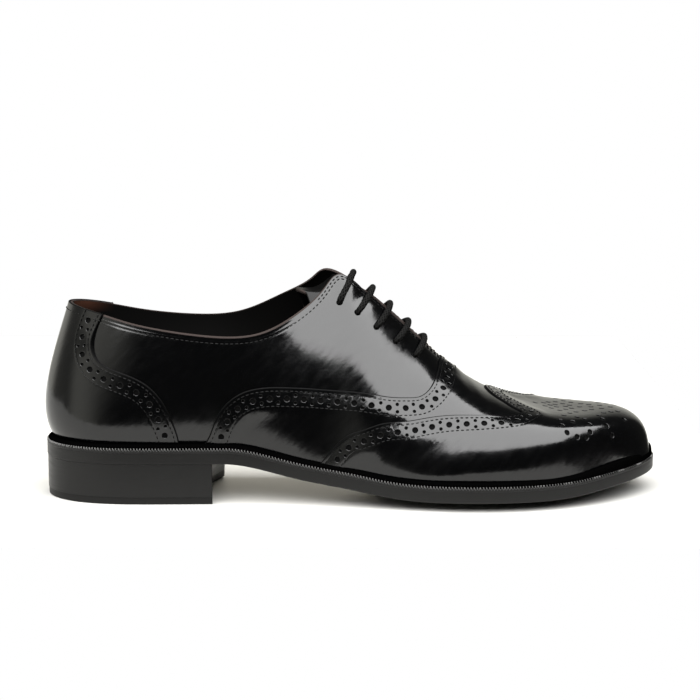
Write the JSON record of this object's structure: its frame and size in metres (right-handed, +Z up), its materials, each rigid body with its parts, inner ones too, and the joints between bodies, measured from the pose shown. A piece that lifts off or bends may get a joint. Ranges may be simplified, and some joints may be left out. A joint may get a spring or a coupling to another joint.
{
  "type": "full-brogue oxford shoe",
  "caption": "Black wingtip oxford for the right foot: welted sole with block heel, hollow leather upper, punched toe cap and counter, closed lacing.",
  "frame": {"origin": "middle of the shoe's box, on the floor that heel and forefoot stand on", "axes": "+X towards the toe, +Y towards the inner (medial) side, +Z up"},
  "size_m": [0.3074, 0.1012, 0.1118],
  "materials": {
    "upper_leather": "high shine",
    "cap_leather": "high shine, punched",
    "counter_leather": "high shine, punched",
    "tongue_leather": "shine",
    "sole_edge": "satin edge",
    "welt_strip": "satin, wheeled",
    "heel_stack": "satin",
    "heel_rubber": "matt",
    "insole_leather": "matt",
    "lace_cotton": "waxed braid"
  },
  "bodies": {
    "root": {"upper": "upper_leather", "toe_cap": "cap_leather", "heel_counter": "counter_leather", "tongue": "tongue_leather", "outsole": "sole_edge", "welt": "welt_strip", "heel_block": "heel_stack", "heel_top_piece": "heel_rubber", "insole": "insole_leather", "lace_bar_1": "lace_cotton", "lace_bar_2": "lace_cotton", "lace_bar_3": "lace_cotton", "lace_bar_4": "lace_cotton", "lace_bar_5": "lace_cotton"}
  },
  "joints": []
}
